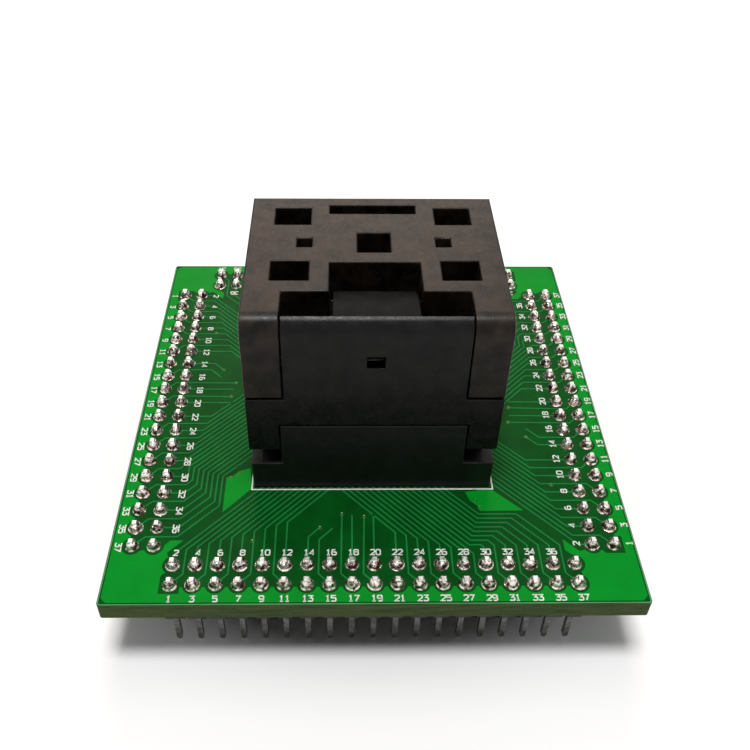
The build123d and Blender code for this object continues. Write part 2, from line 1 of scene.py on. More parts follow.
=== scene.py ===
"""Looks of the chip test socket on its adapter board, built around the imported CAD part.

Sizes are in millimetres in the CAD frame, but in metres for the stage, the lamps and the
camera's clipping. Each header side is described in two plan coordinates: t along the
header, towards its pin 37, and o outward from the centre.
"""

import math
import random

import bmesh
import bpy
from mathutils import Matrix, Vector


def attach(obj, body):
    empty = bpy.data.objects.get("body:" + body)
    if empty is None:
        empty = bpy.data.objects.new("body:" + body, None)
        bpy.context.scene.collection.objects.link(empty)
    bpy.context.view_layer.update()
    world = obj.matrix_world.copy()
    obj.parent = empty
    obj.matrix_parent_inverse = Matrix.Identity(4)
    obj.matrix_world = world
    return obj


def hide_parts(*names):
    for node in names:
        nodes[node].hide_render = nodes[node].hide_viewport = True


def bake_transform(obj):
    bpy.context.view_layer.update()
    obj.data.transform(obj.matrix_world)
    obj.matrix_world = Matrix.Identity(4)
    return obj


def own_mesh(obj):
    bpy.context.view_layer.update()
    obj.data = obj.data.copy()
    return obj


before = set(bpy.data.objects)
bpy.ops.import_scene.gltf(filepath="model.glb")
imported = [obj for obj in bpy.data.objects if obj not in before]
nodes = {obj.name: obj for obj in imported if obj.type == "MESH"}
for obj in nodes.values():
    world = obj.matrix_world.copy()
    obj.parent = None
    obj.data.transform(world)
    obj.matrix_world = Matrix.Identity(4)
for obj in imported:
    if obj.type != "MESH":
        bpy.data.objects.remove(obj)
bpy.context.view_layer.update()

MM = 0.001
SIDES = ("front", "right", "back", "left")

# Board and headers
PITCH = 2.54
COLUMNS = 19
INNER_ROW, OUTER_ROW = 25.4, 27.94
STRIP_MIDDLE = 26.67
BOARD_TOP = 10.86
BOARD_BOTTOM = 8.5
BOARD_HALF = 30.5
CAD_CORNER = 1.0  # corner radius of the board's solid
CORNER = 0.4  # and as the photograph shows it

# Socket
LID_TOP = 37.66
FILLET = 2.0  # radius of the rounded front edge of lid and latch
FILLET_Y = -12.4  # and its axis, as far below LID_TOP as the radius
HINGE_Y, HINGE_Z = 12.4, BOARD_TOP + 11.2
LATCH_PIVOT_Y, LATCH_PIVOT_Z = -12.4, BOARD_TOP + 19.6


# Camera: the photograph's own, from the fit of the pin grid and the socket's corners
IMAGE_SIZE = 750  # pixels
SENSOR = 36


def make_camera():
    focal, centre_u, centre_v = 886.471, 356.475, 301.770  # pixels
    place = Vector((-3.7404, -84.0108, 87.2517 + BOARD_TOP)) * MM
    yaw, pitch, roll = -0.021487, 0.690974, 0.014559
    turn = Matrix.Rotation(yaw, 3, "Z")
    forward = turn @ Vector((0, math.cos(pitch), -math.sin(pitch)))
    right = turn @ Vector((1, 0, 0))
    up = right.cross(forward)
    tilted_right = math.cos(roll) * right + math.sin(roll) * up
    tilted_up = math.cos(roll) * up - math.sin(roll) * right
    data = bpy.data.cameras.new("camera")
    data.sensor_width = SENSOR
    data.lens = focal * SENSOR / IMAGE_SIZE
    data.shift_x = (IMAGE_SIZE / 2 - centre_u) / IMAGE_SIZE
    data.shift_y = (centre_v - IMAGE_SIZE / 2) / IMAGE_SIZE
    data.clip_start = 0.005
    data.clip_end = 20
    camera = bpy.data.objects.new("camera", data)
    bpy.context.scene.collection.objects.link(camera)
    matrix = Matrix((tilted_right, tilted_up, -forward)).transposed().to_4x4()
    matrix.translation = place
    camera.matrix_world = matrix
    bpy.context.scene.camera = camera


# Stage: soft studio light, a pale floor and an even world, in metres
WORLD_LIGHT = 0.07  # strength as diffuse light
WORLD_SHOWN = 1.0  # strength where it is seen, also in reflections: white
FLOOR_HALF = 1.5
FLOOR_DROP = 0.0001  # keeps the floor clear of the pin tips
# Strength of the floor's own white by distance from the centre. It starts at the board's
# edge, so the shadow under the board stays, and it grows where the lamps no longer reach.
FLOOR_WHITE = ((0.0305, 0.0), (0.037, 0.12), (0.055, 0.18), (0.3, 0.22), (0.9, 0.85))
FLOOR_WHITE_AT_END = 0.9


def add_node(tree, kind, values, **settings):
    """New shader node with its settings, and a value or a link for each named input."""
    node = tree.nodes.new(kind)
    for name, setting in settings.items():
        setattr(node, name, setting)
    for name, value in values.items():
        if isinstance(value, bpy.types.NodeSocket):
            tree.links.new(value, node.inputs[name])
        else:
            node.inputs[name].default_value = value
    return node


def shown_directly(tree):
    """1 for rays from the camera, and for those seen in metal or through glass, else 0."""
    path = add_node(tree, "ShaderNodeLightPath", {}).outputs
    total = path["Is Camera Ray"]
    for ray in ("Is Glossy Ray", "Is Transmission Ray"):
        values = {0: total, 1: path[ray]}
        both = add_node(tree, "ShaderNodeMath", values, operation="ADD", use_clamp=True)
        total = both.outputs[0]
    return total


def make_world():
    world = bpy.data.worlds.new("studio")
    world.use_nodes = True
    tree = world.node_tree
    values = {"Value": shown_directly(tree), "To Min": WORLD_LIGHT, "To Max": WORLD_SHOWN}
    strength = add_node(tree, "ShaderNodeMapRange", values)
    background = tree.nodes["Background"]
    background.inputs["Color"].default_value = (1, 1, 1, 1)
    tree.links.new(strength.outputs[0], background.inputs["Strength"])
    bpy.context.scene.world = world


def floor_look():
    """Pale and matt, with white of its own round the object. That white is seen directly, in
    reflections and through glass, and adds no diffuse light."""
    material = bpy.data.materials.new("floor")
    material.use_nodes = True
    tree = material.node_tree
    shader = tree.nodes["Principled BSDF"]
    shader.inputs["Base Color"].default_value = (0.97, 0.97, 0.97, 1)
    shader.inputs["Roughness"].default_value = 0.9
    shader.inputs["Specular IOR Level"].default_value = 0.1
    shader.inputs["Emission Color"].default_value = (1, 1, 1, 1)
    place = add_node(tree, "ShaderNodeTexCoord", {}).outputs["Object"]
    length = add_node(tree, "ShaderNodeVectorMath", {0: place}, operation="LENGTH")
    values = {0: length.outputs["Value"], 1: FLOOR_HALF}
    share = add_node(tree, "ShaderNodeMath", values, operation="DIVIDE")
    white = add_node(tree, "ShaderNodeFloatCurve", {"Value": share.outputs[0]})
    curve = white.mapping.curves[0]
    for reach, strength in FLOOR_WHITE:
        curve.points.new(reach / FLOOR_HALF, strength)
    curve.points[0].location = (0, 0)
    curve.points[-1].location = (1, FLOOR_WHITE_AT_END)
    for point in curve.points:
        point.handle_type = "VECTOR"
    white.mapping.update()
    values = {0: shown_directly(tree), 1: white.outputs[0]}
    glow = add_node(tree, "ShaderNodeMath", values, operation="MULTIPLY")
    tree.links.new(glow.outputs[0], shader.inputs["Emission Strength"])
    return material


def make_floor():
    mesh = bpy.data.meshes.new("floor")
    corners = [(-1, -1), (1, -1), (1, 1), (-1, 1)]
    points = [(x * FLOOR_HALF, y * FLOOR_HALF, -FLOOR_DROP) for x, y in corners]
    mesh.from_pydata(points, [], [(0, 1, 2, 3)])
    mesh.materials.append(floor_look())
    floor = bpy.data.objects.new("floor", mesh)
    bpy.context.scene.collection.objects.link(floor)


def softbox(name, place, target, size, radiance, colour=(1, 1, 1)):
    data = bpy.data.lights.new(name, "AREA")
    data.shape = "RECTANGLE"
    data.size = size[0]
    data.size_y = size[1]
    data.energy = math.pi * size[0] * size[1] * radiance
    data.color = colour
    light = bpy.data.objects.new(name, data)
    light.location = place
    aim = (Vector(target) - Vector(place)).to_track_quat("-Z", "Y")
    light.rotation_euler = aim.to_euler()
    bpy.context.scene.collection.objects.link(light)


def make_stage():
    bpy.context.scene.view_settings.view_transform = "Standard"
    make_world()
    make_floor()
    softbox("overhead", (-0.03, -0.10, 0.93), (0, 0, 0.02), (0.26, 0.22), 34.0)
    softbox("high_back", (0, 0.28, 0.87), (0, 0, 0.03), (0.24, 0.46), 2.9, (1.0, 0.93, 0.88))
    softbox("back_panel", (0, 0.50, 0.43), (0, 0, 0.03), (0.30, 0.27), 3.1, (1.0, 0.80, 0.66))


# Materials: every one gets its colour, roughness and relief from noise at a real scale
class Look:
    def __init__(self, name, metallic=0.0, specular=0.5):
        self.material = bpy.data.materials.new(name)
        self.material.use_nodes = True
        self.tree = self.material.node_tree
        self.shader = self.tree.nodes["Principled BSDF"]
        self.shader.inputs["Metallic"].default_value = metallic
        self.shader.inputs["Specular IOR Level"].default_value = specular
        self.place = add_node(self.tree, "ShaderNodeTexCoord", {}).outputs["Object"]
        self.relief = None

    def noise(self, size, detail, stretch=(1, 1, 1)):
        """Noise whose blotches are about the given size in millimetres."""
        values = {"Vector": self.place, "Scale": stretch}
        scaled = add_node(self.tree, "ShaderNodeMapping", values)
        values = {"Vector": scaled.outputs[0], "Scale": 1 / (size * MM), "Detail": detail}
        return add_node(self.tree, "ShaderNodeTexNoise", values).outputs["Fac"]

    def colour(self, factor, stops):
        """Colour from (position, colour) stops."""
        node = add_node(self.tree, "ShaderNodeValToRGB", {"Fac": factor})
        elements = node.color_ramp.elements
        while len(elements) < len(stops):
            elements.new(0.5)
        for element, (position, colour) in zip(elements, stops):
            element.position = position
            element.color = (*colour, 1)
        self.tree.links.new(node.outputs["Color"], self.shader.inputs["Base Color"])

    def roughness(self, factor, low, high):
        values = {"Value": factor, "From Min": 0.3, "From Max": 0.7, "To Min": low, "To Max": high}
        node = add_node(self.tree, "ShaderNodeMapRange", values)
        self.tree.links.new(node.outputs[0], self.shader.inputs["Roughness"])

    def bump(self, height, strength, depth):
        """Relief of the given depth in millimetres, laid over any relief so far."""
        values = {"Height": height, "Strength": strength, "Distance": depth * MM}
        if self.relief:
            values["Normal"] = self.relief
        self.relief = add_node(self.tree, "ShaderNodeBump", values).outputs["Normal"]
        self.tree.links.new(self.relief, self.shader.inputs["Normal"])


def moulding_look(name, dark, light, rough=(0.4, 0.6), specular=0.45):
    """Moulded plastic: blotched, with a fine grain and a shallow waviness."""
    look = Look(name, specular=specular)
    look.colour(look.noise(2.0, 8), [(0.35, dark), (0.66, light)])
    look.roughness(look.noise(0.5, 4), *rough)
    look.bump(look.noise(0.15, 3), 0.5, 0.02)
    look.bump(look.noise(0.7, 4), 0.25, 0.03)
    return look.material


def mask_look(name, colour, veil):
    """Solder mask: glossy and even, with the faint weave of the laminate under it."""
    look = Look(name, specular=0.05)
    dark, light = ([c * level for c in colour] for level in (1 - veil, 1 + veil))
    look.colour(look.noise(3.5, 3), [(0.3, dark), (0.7, light)])
    look.roughness(look.noise(1.2, 3), 0.26, 0.4)
    look.bump(look.noise(0.5, 2), 0.12, 0.02)
    return look.material


def metal_look(
    name, dark, light, rough, size, depth=0.015, stretch=(1, 1, 1), span=(0.35, 0.62), metallic=1.0
):
    look = Look(name, metallic=metallic)
    look.colour(look.noise(size, 4, stretch), [(span[0], dark), (span[1], light)])
    look.roughness(look.noise(size * 0.7, 3, stretch), *rough)
    look.bump(look.noise(size * 0.5, 3, stretch), 0.4, depth)
    return look.material


def laminate_look():
    """Board edge: layers of glass and resin, dark green to olive, fuzzy from the router."""
    look = Look("laminate", specular=0.18)
    deep, green, olive = (0.016, 0.036, 0.004), (0.038, 0.074, 0.009), (0.076, 0.082, 0.016)
    layers = look.noise(0.9, 4, (0.25, 0.25, 3.0))
    look.colour(layers, [(0.3, deep), (0.5, green), (0.68, olive)])
    look.roughness(look.noise(0.3, 3), 0.5, 0.75)
    look.bump(look.noise(0.12, 3, (1, 1, 2.0)), 0.5, 0.05)
    return look.material


def ink_look():
    """White print, slightly worn and chalky."""
    look = Look("white_ink", specular=0.3)
    look.colour(look.noise(0.5, 3), [(0.3, (0.62, 0.64, 0.58)), (0.6, (0.86, 0.88, 0.82))])
    look.roughness(look.noise(0.4, 2), 0.5, 0.7)
    look.bump(look.noise(0.2, 2), 0.3, 0.02)
    return look.material


MOULDING = moulding_look(
    "moulding", (0.003, 0.0026, 0.002), (0.030, 0.019, 0.012), (0.24, 0.38), 0.16
)
# The lid's plastic made darker and greyer for the latch: painted shade for its front faces, turned
# away from the lamps.
LATCH_SHADED = moulding_look(
    "latch_moulding_painted_shade", (0.002, 0.002, 0.002), (0.010, 0.009, 0.009), (0.24, 0.38), 0.14
)
THUMB = moulding_look(
    "thumb_moulding", (0.004, 0.004, 0.004), (0.010, 0.009, 0.009), (0.5, 0.6), 0.05
)
# The lid's plastic made darker for the base: painted shade for its flange and sides, which lie in
# shade.
BASE_SHADED = moulding_look(
    "base_moulding_painted_shade", (0.004, 0.004, 0.004), (0.009, 0.009, 0.009), (0.32, 0.45), 0.2
)
HEADER = moulding_look(
    "header_moulding", (0.006, 0.006, 0.006), (0.014, 0.014, 0.014), (0.35, 0.5), 0.25
)
BLOCK = moulding_look("block_plastic", (0.17, 0.13, 0.075), (0.26, 0.20, 0.12), (0.45, 0.6))
NEST = moulding_look("nest_plastic", (0.028, 0.022, 0.018), (0.055, 0.045, 0.038), (0.4, 0.55))
PAD = metal_look("anodised_pad", (0.030, 0.030, 0.033), (0.055, 0.055, 0.060), (0.35, 0.5), 0.3)
MASK = mask_look("mask_over_laminate", (0.001, 0.068, 0.007), 0.2)
POUR = mask_look("mask_over_copper", (0.001, 0.275, 0.020), 0.06)
TRACE = mask_look("mask_over_trace", (0.012, 0.19, 0.042), 0.12)
# Pale green for the board's top edge: painted highlight, the light caught on the rounded edge of
# the mask.
RIM_HIGHLIGHT = mask_look("rim_painted_highlight", (0.10, 0.36, 0.15), 0.2)
LAMINATE = laminate_look()
VIA = metal_look("via_ring", (0.03, 0.09, 0.02), (0.07, 0.14, 0.04), (0.35, 0.5), 0.3)
TIN = metal_look("tin", (0.62, 0.60, 0.57), (0.86, 0.84, 0.80), (0.22, 0.38), 0.5)
SOLDER = metal_look(
    "solder", (0.085, 0.042, 0.034), (1.0, 0.89, 0.84), (0.13, 0.3), 0.55, 0.12,
    span=(0.42, 0.58), metallic=0.85,
)
# The pins' own tin made darker: painted shade for the pins in the shadow under the board.
SHADED_TIN = metal_look(
    "tin_painted_shade", (0.075, 0.072, 0.069), (0.17, 0.165, 0.158), (0.35, 0.5), 0.5
)
DARK_STEEL = metal_look(
    "blackened_steel", (0.03, 0.03, 0.03), (0.07, 0.068, 0.065), (0.35, 0.5), 0.4, 0.01
)
STEEL = metal_look(
    "steel", (0.48, 0.47, 0.46), (0.68, 0.67, 0.65), (0.22, 0.4), 0.4, 0.01, (0.3, 1, 1)
)
SPRING = metal_look(
    "spring_steel", (0.40, 0.39, 0.38), (0.62, 0.61, 0.60), (0.2, 0.35), 0.3, 0.008
)
GOLD = metal_look("gold", (0.60, 0.38, 0.10), (0.86, 0.62, 0.22), (0.18, 0.32), 0.4, 0.01)
INK = ink_look()


# Shapes: points in millimetres and faces, gathered and then made into one piece
class Shape:
    def __init__(self):
        self.points = []
        self.faces = []

    def add(self, points, faces):
        first = len(self.points)
        self.points += [tuple(point) for point in points]
        self.faces += [tuple(first + i for i in face) for face in faces]

    def prism(self, outline, low, high):
        count = len(outline)
        points = [(x, y, low) for x, y in outline] + [(x, y, high) for x, y in outline]
        walls = [(i, (i + 1) % count, count + (i + 1) % count, count + i) for i in range(count)]
        self.add(points, [tuple(reversed(range(count))), tuple(range(count, 2 * count)), *walls])

    def skin(self, rings, closed=False):
        """Skin over a row of rings of the same count, with an end cap at each open end."""
        count = len(rings[0])
        faces = []
        for r in range(len(rings) if closed else len(rings) - 1):
            near = r * count
            far = (r + 1) % len(rings) * count
            for i in range(count):
                j = (i + 1) % count
                faces.append((near + i, near + j, far + j, far + i))
        if not closed:
            last = (len(rings) - 1) * count
            faces += [tuple(reversed(range(count))), tuple(range(last, last + count))]
        self.add([point for ring in rings for point in ring], faces)

    def ribbon(self, line, width, low, high, closed=False):
        """Flat strip with mitred corners along a plan line."""
        count = len(line)
        rings = []
        for i, (x, y) in enumerate(line):
            before = line[i - 1] if closed or i else line[i]
            after = line[(i + 1) % count] if closed or i < count - 1 else line[i]
            ways = [Vector((x - before[0], y - before[1])), Vector((after[0] - x, after[1] - y))]
            ways = [way.normalized() for way in ways if way.length > 1e-6]
            mean = (ways[0] + ways[-1]).normalized()
            reach = width / 2 / max(0.5, mean.dot(ways[0]))
            side = Vector((-mean.y, mean.x)) * reach
            left, right = (x + side.x, y + side.y), (x - side.x, y - side.y)
            rings.append([(*left, low), (*right, low), (*right, high), (*left, high)])
        self.skin(rings, closed)

    def post(self, x, y, profile):
        """Square post from (half width, height) pairs."""
        corners = ((-1, -1), (1, -1), (1, 1), (-1, 1))
        self.skin([[(x + i * half, y + j * half, z) for i, j in corners] for half, z in profile])

    def lathe(self, centre, profile, sides, axis="Z", lean=(0, 0)):
        """Turned solid from (radius, height) pairs about Z, or about X with height along X."""
        x, y, z = centre
        rings = []
        for radius, height in profile:
            ring = []
            for i in range(sides):
                angle = 2 * math.pi * i / sides
                u, v = radius * math.cos(angle), radius * math.sin(angle)
                if axis == "Z":
                    ring.append((x + u + lean[0] * height, y + v + lean[1] * height, z + height))
                else:
                    ring.append((x + height, y + u, z + v))
            rings.append(ring)
        self.skin(rings)

    def tube(self, line, radius, sides):
        """Round wire along a line of points."""
        points = [Vector(point) for point in line]
        angles = [2 * math.pi * k / sides for k in range(sides)]
        way = (points[1] - points[0]).normalized()
        side = way.orthogonal().normalized()
        rings = []
        for i, point in enumerate(points):
            ahead = points[min(i + 1, len(points) - 1)] - points[max(i - 1, 0)]
            fresh = ahead.normalized()
            side = way.rotation_difference(fresh) @ side
            way = fresh
            other = way.cross(side)
            spokes = [math.cos(a) * side + math.sin(a) * other for a in angles]
            rings.append([tuple(point + radius * spoke) for spoke in spokes])
        self.skin(rings)

    def piece(self, name, material, body, slot, replaces=(), smooth=None):
        mesh = bpy.data.meshes.new(name)
        mesh.from_pydata([(x * MM, y * MM, z * MM) for x, y, z in self.points], [], self.faces)
        return place_mesh(mesh, name, material, body, replaces, smooth)


def place_mesh(mesh, name, material, body, replaces=(), smooth=None):
    """The mesh as a piece. smooth is the angle in degrees above which an edge stays sharp."""
    shape = bmesh.new()
    shape.from_mesh(mesh)
    bmesh.ops.recalc_face_normals(shape, faces=shape.faces)
    shape.to_mesh(mesh)
    shape.free()
    mesh.materials.clear()
    mesh.materials.append(material)
    if smooth:
        mesh.shade_smooth()
        mesh.set_sharp_from_angle(angle=math.radians(smooth))
    piece = bpy.data.objects.new(name, mesh)
    bpy.context.scene.collection.objects.link(piece)
    if body:
        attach(piece, body)
    if replaces:
        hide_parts(*replaces)
    return piece


# Pieces made from a node's own shape
WELD = 0.002  # points closer than this become one
FLAT_TURN = math.radians(0.5)  # faces that turn less than this become one
SHARP_TURN = math.radians(35)  # edges that turn more than this are rounded
SHORT_EDGE = 0.5  # a shorter one is rounded only where it is part of a broad arc
ARC_RADIUS = 1.5
ARC_TURN = math.radians(12)
SLIVER = 0.0005  # what is narrower than this after the rounding is taken out


def is_sharp(edge):
    return edge.is_manifold and edge.calc_face_angle(0) > SHARP_TURN


def on_broad_arc(edge):
    """Whether a short edge runs on from its sharp neighbour in an arc of 1.5 mm or more."""
    for vertex in edge.verts:
        own = vertex.co - edge.other_vert(vertex).co
        for other in vertex.link_edges:
            if other is edge or not is_sharp(other):
                continue
            turn = own.angle(other.other_vert(vertex).co - vertex.co)
            if turn < ARC_TURN and own.length > turn * ARC_RADIUS * MM:
                return True
    return False


def softened(node, name, width, material, body):
    """The node's own shape with its edges rounded, as the moulded part has them."""
    mesh = nodes[node].data.copy()
    shape = bmesh.new()
    shape.from_mesh(mesh)
    bmesh.ops.remove_doubles(shape, verts=shape.verts, dist=WELD * MM)
    bmesh.ops.dissolve_limit(
        shape, angle_limit=FLAT_TURN, verts=shape.verts, edges=shape.edges, delimit=set()
    )
    bmesh.ops.recalc_face_normals(shape, faces=shape.faces)
    sharp = [edge for edge in shape.edges if is_sharp(edge)]
    edges = [edge for edge in sharp if edge.calc_length() > SHORT_EDGE * MM or on_broad_arc(edge)]
    bmesh.ops.bevel(
        shape,
        geom=edges,
        offset=width * MM,
        offset_type="OFFSET",
        segments=2,
        profile=0.5,
        affect="EDGES",
        clamp_overlap=False,
    )
    bmesh.ops.remove_doubles(shape, verts=shape.verts, dist=SLIVER * MM)
    bmesh.ops.dissolve_degenerate(shape, dist=SLIVER * MM, edges=shape.edges)
    shape.to_mesh(mesh)
    shape.free()
    piece = place_mesh(mesh, name, material, body, (node,), 32)
    flatness = piece.modifiers.new("flat_faces", "WEIGHTED_NORMAL")
    flatness.keep_sharp = True
    return piece


def dress(name, material):
    """Give the node itself a material, for a shape that is shown as it is."""
    mesh = nodes[name].data
    mesh.materials.clear()
    mesh.materials.append(material)


# Plan positions
def turned(side, t, o):
    """Plan point of a header side: front, right, back and left are quarter turns."""
    x, y = t, -o
    for _ in range(SIDES.index(side)):
        x, y = -y, x
    return x, y


def turned_line(side, line):
    """Plan points of a line in (t, o)."""
    return [turned(side, t, o) for t, o in line]


def column(k):
    """t of a header column, counted from 0. Half a count lies between two columns."""
    return (k - COLUMNS // 2) * PITCH


def arc(centre, radius, start, stop, steps=8):
    """Points of a circle, with angles in degrees from the first coordinate's direction."""
    angles = [math.radians(start + (stop - start) * i / steps) for i in range(steps + 1)]
    return [(centre[0] + radius * math.cos(a), centre[1] + radius * math.sin(a)) for a in angles]


def rounded_square(half, corner):
    outline = []
    for cx, cy, begin in ((1, 1, 0), (-1, 1, 90), (-1, -1, 180), (1, -1, 270)):
        centre = (cx * (half - corner), cy * (half - corner))
        outline += arc(centre, corner, begin, begin + 90, 6)
    return outline


# Adapter board: mask on both faces, pours, copper lines and vias. What lies on a face
# stands up from it by its own height, and the flat mask also reaches into it as far.
MASK_HEIGHT = 0.02
RIM_HIGHLIGHT_HEIGHT = 0.04
COPPER_HEIGHT = 0.05
TRACE_HEIGHT = 0.055
FRAME_HEIGHT = 0.06
PRINT_HEIGHT = 0.07
FAN_EDGE = 14.0  # o at which the fans of copper lines start, just under the socket's edge
FAN_STEP = 0.85  # t between neighbouring lines there
SLANT_END = 22.9  # o at which slanted stretches end, short of the inner pads

# Pours in (t, o): one along the board's edge and back clear of the pads, and one beside
# the socket's corner
RIM_POUR = [
    (-29.85, 29.85),
    (-29.5, 30.15),
    (29.5, 30.15),
    (29.85, 29.85),
    (22.1, 22.1),
    (22.1, 23.6),
    *arc((22.86, INNER_ROW), 1.2, -95, 62),
    *arc((22.86, OUTER_ROW), 1.2, -58, 164),
    *(point for k in range(17, 0, -1) for point in arc((column(k), OUTER_ROW), 1.15, 16, 164)),
    (-21.72, 28.25),
    (-21.72, 29.08),
    (-24.02, 29.08),
    (-24.02, 26.8),
    *arc((-22.86, INNER_ROW), 1.2, 125, 235),
    (-23.75, 23.75),
]
FRONT_POUR = [
    (11.4, 15.2), (14.6, 14.75), (18.15, 18.0), (12.9, 18.05), (12.6, 17.2), (11.9, 16.6),
]
VIAS = [(-3.71, 18.4), (-1.06, 18.8), (12.5, 16.55), (12.9, 17.5), (-14.1, 22.2), (-6.3, 20.35)]
VIA_PROFILE = [(0.27, 0), (0.27, 0.06), (0.21, 0.07), (0.14, 0.03)]


def pad_end(k, to_outer, turn=1):
    """Last stretch to an inner pad, or between two inner pads and then aside to an outer one."""
    t = column(k)
    if not to_outer:
        return [(t, 25.0)]
    return [(t, 26.6), (t + 0.6 * turn, 27.2), (t + 0.9 * turn, 27.5)]


def routes():
    """The 33 copper lines of one side, each out to its pad, in (t, o)."""
    lines = []
    # Right-hand fan: out at 45 degrees, and the first eight then along and out again
    for i in range(16):
        k = 17.5 - i / 2
        target = column(k)
        shift = -5.8 - FAN_STEP * i
        line = [(shift + FAN_EDGE, FAN_EDGE)]
        if i < 8:
            level = 18.5 + 0.62 * i
            bend = target - max(0.3, SLANT_END - level)
            line += [(shift + level, level), (bend, level), (target, level + target - bend)]
        else:
            line.append((target, target - shift))
        lines.append(line + pad_end(k, i % 2 == 0))
    # Left-hand fan: out at 45 degrees to the left
    for i in range(11):
        k = i / 2
        reach = 0.95 + FAN_STEP * i
        line = [(reach - FAN_EDGE, FAN_EDGE), (column(k), reach - column(k))]
        lines.append(line + pad_end(k, i % 2 == 1, -1 if i < 8 else 1))
    # Short lines in the middle, three of them from a via
    lines.append([(-6.3, 20.35), (column(6), 21.67)] + pad_end(6, False))
    lines.append([(-4.8, 20.5), (column(6.5), 22.06)] + pad_end(6.5, True))
    for start, k, to_outer in (
        ((-3.71, 18.4), 7.5, True),
        ((-2.5, 18.6), 8, False),
        ((-1.06, 18.8), 8.5, True),
        ((0.05, 18.5), 9, False),
    ):
        lines.append([start] + pad_end(k, to_outer))
    return lines


def make_slab():
    """The board's own solid, with its corners drawn in from 1.0 to 0.4 mm radius."""
    mesh = nodes["circuit_board"].data.copy()
    for vertex in mesh.vertices:
        beyond = [abs(c) - (BOARD_HALF - CAD_CORNER) * MM for c in vertex.co[:2]]
        if min(beyond) > 0:
            for i in range(2):
                place = (BOARD_HALF - CORNER) * MM + CORNER / CAD_CORNER * beyond[i]
                vertex.co[i] = math.copysign(place, vertex.co[i])
    place_mesh(mesh, "board_slab", LAMINATE, "base", ("circuit_board",))


def make_board():
    make_slab()
    for name, level in (("mask_top", BOARD_TOP), ("mask_bottom", BOARD_BOTTOM)):
        mask = Shape()
        outline = rounded_square(BOARD_HALF - 0.06, CORNER - 0.05)
        mask.prism(outline, level - MASK_HEIGHT, level + MASK_HEIGHT)
        mask.piece(name, MASK, "base", "board")
    pours, traces, vias = Shape(), Shape(), Shape()
    for side in SIDES:
        for outline in (RIM_POUR, FRONT_POUR):
            pours.prism(turned_line(side, outline), BOARD_TOP, BOARD_TOP + COPPER_HEIGHT)
        for line in routes():
            traces.ribbon(turned_line(side, line), 0.2, BOARD_TOP, BOARD_TOP + TRACE_HEIGHT)
        for x, y in turned_line(side, VIAS):
            vias.lathe((x, y, BOARD_TOP), VIA_PROFILE, 14)
    pours.piece("copper_pours", POUR, "base", "board")
    traces.piece("copper_traces", TRACE, "base", "board")
    vias.piece("vias", VIA, "base", "board", smooth=40)
    # A pale ribbon round the board's top edge: painted highlight of the mask's rounded edge.
    rim_highlight = Shape()
    outline = rounded_square(BOARD_HALF - 0.13, CORNER - 0.1)
    rim_highlight.ribbon(outline, 0.12, BOARD_TOP, BOARD_TOP + RIM_HIGHLIGHT_HEIGHT, closed=True)
    rim_highlight.piece("rim_painted_highlight", RIM_HIGHLIGHT, "base", "board")
    under = Shape()
    for side in SIDES:
        for k in range(COLUMNS):
            t = column(k)
            o = FAN_EDGE + 0.42 * abs(k - COLUMNS // 2)
            line = [(t * 0.62, o), (t + 0.01, o + 0.1 + abs(t) * 0.38), (t, SLANT_END)]
            low = BOARD_BOTTOM - COPPER_HEIGHT
            under.ribbon(turned_line(side, line), 0.25, low, BOARD_BOTTOM)
    under.piece("copper_traces_under", TRACE, "base", "board")


# Printed numbers: generic pin numbers, drawn as strokes in a cell 0.6 wide and 1 tall
DIGITS = {
    "0": [
        [(0.1, 0), (0.5, 0), (0.6, 0.15), (0.6, 0.85), (0.5, 1), (0.1, 1), (0, 0.85), (0, 0.15),
         (0.1, 0)],
    ],
    "1": [[(0.1, 0.8), (0.3, 1), (0.3, 0)], [(0.1, 0), (0.5, 0)]],
    "2": [[(0, 0.85), (0.1, 1), (0.5, 1), (0.6, 0.85), (0.6, 0.6), (0, 0), (0.6, 0)]],
    "3": [
        [(0, 1), (0.6, 1), (0.3, 0.6), (0.5, 0.6), (0.6, 0.45), (0.6, 0.12), (0.5, 0), (0.1, 0),
         (0, 0.12)],
    ],
    "4": [[(0.45, 0), (0.45, 1), (0, 0.3), (0.6, 0.3)]],
    "5": [
        [(0.6, 1), (0, 1), (0, 0.6), (0.5, 0.6), (0.6, 0.45), (0.6, 0.12), (0.5, 0), (0, 0)],
    ],
    "6": [
        [(0.5, 1), (0.1, 1), (0, 0.85), (0, 0.12), (0.1, 0), (0.5, 0), (0.6, 0.12), (0.6, 0.45),
         (0.5, 0.56), (0, 0.56)],
    ],
    "7": [[(0, 1), (0.6, 1), (0.2, 0)]],
    "8": [
        [(0.1, 0.55), (0, 0.7), (0, 0.88), (0.1, 1), (0.5, 1), (0.6, 0.88), (0.6, 0.7),
         (0.5, 0.55), (0.1, 0.55)],
        [(0.1, 0.55), (0, 0.42), (0, 0.12), (0.1, 0), (0.5, 0), (0.6, 0.12), (0.6, 0.42),
         (0.5, 0.55)],
    ],
    "9": [
        [(0.1, 0), (0.5, 0), (0.6, 0.15), (0.6, 0.88), (0.5, 1), (0.1, 1), (0, 0.88), (0, 0.6),
         (0.1, 0.45), (0.6, 0.45)],
    ],
}
DIGIT_WIDE, DIGIT_TALL, DIGIT_STEP = 0.82, 0.68, 0.64
DIGIT_STROKE = 0.15
PRINT_SHIFT = 0.15  # the numbers stand a little towards pin 37
# o of the odd numbers outside the header and of the even ones inside it
PRINT_ROWS = {
    "front": (29.72, 23.8), "right": (29.8, 23.6), "back": (29.6, 23.5), "left": (29.5, 23.2),
}
FRAME_LINE = [(-14.75, -14.75), (14.85, -14.75), (14.85, 15.5), (-14.75, 15.5)]


